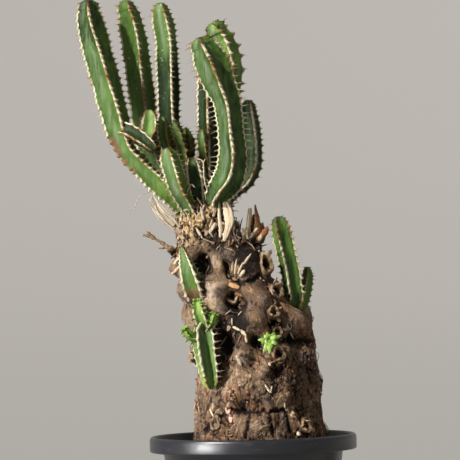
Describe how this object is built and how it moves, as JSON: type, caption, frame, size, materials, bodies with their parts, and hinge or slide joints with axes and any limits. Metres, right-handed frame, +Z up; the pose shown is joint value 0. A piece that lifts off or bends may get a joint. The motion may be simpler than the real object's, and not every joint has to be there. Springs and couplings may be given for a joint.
{
  "type": "potted caudex euphorbia",
  "caption": "Caudex euphorbia with a leaning knobbly trunk, ribbed spiny green stems at its crown and shoots on its flanks, standing in a round plastic nursery pot.",
  "frame": {"origin": "centre of the pot's flat underside", "axes": "+Z up along the pot's axis, -Y towards the front of the plant, +X to the right of the front view"},
  "size_m": [0.2003, 0.15, 0.448],
  "materials": {
    "pot_plastic": "dark bluish grey moulded plastic, soft sheen",
    "potting_mix": "coarse bark and grit potting mix",
    "bark": "cracked, fibrous brown bark with pale knobs and dark hollows",
    "green_skin": "waxy green skin with cream horny rib margins and orange-brown spines",
    "fresh_green": "fresh pale green leaves",
    "dry_fibre": "dry papery tan fibres"
  },
  "bodies": {
    "root": {"pot": "pot_plastic", "soil": "potting_mix", "trunk": "bark", "rosette": "fresh_green", "stem_far_left": "green_skin", "stem_front": "green_skin", "stem_short_front": "green_skin", "stem_right": "green_skin", "stem_short_dark": "green_skin", "stem_middle": "green_skin", "stem_dark_back": "green_skin", "stem_left_back": "green_skin", "stem_right_back": "green_skin", "shoot_right": "green_skin", "shoot_right_small": "green_skin", "shoot_left_wedge": "green_skin", "shoot_hanging": "green_skin", "papery_flake": "dry_fibre", "dead_twig": "dry_fibre", "fibre_strip": "dry_fibre", "dry_cluster": "dry_fibre"}
  },
  "joints": []
}
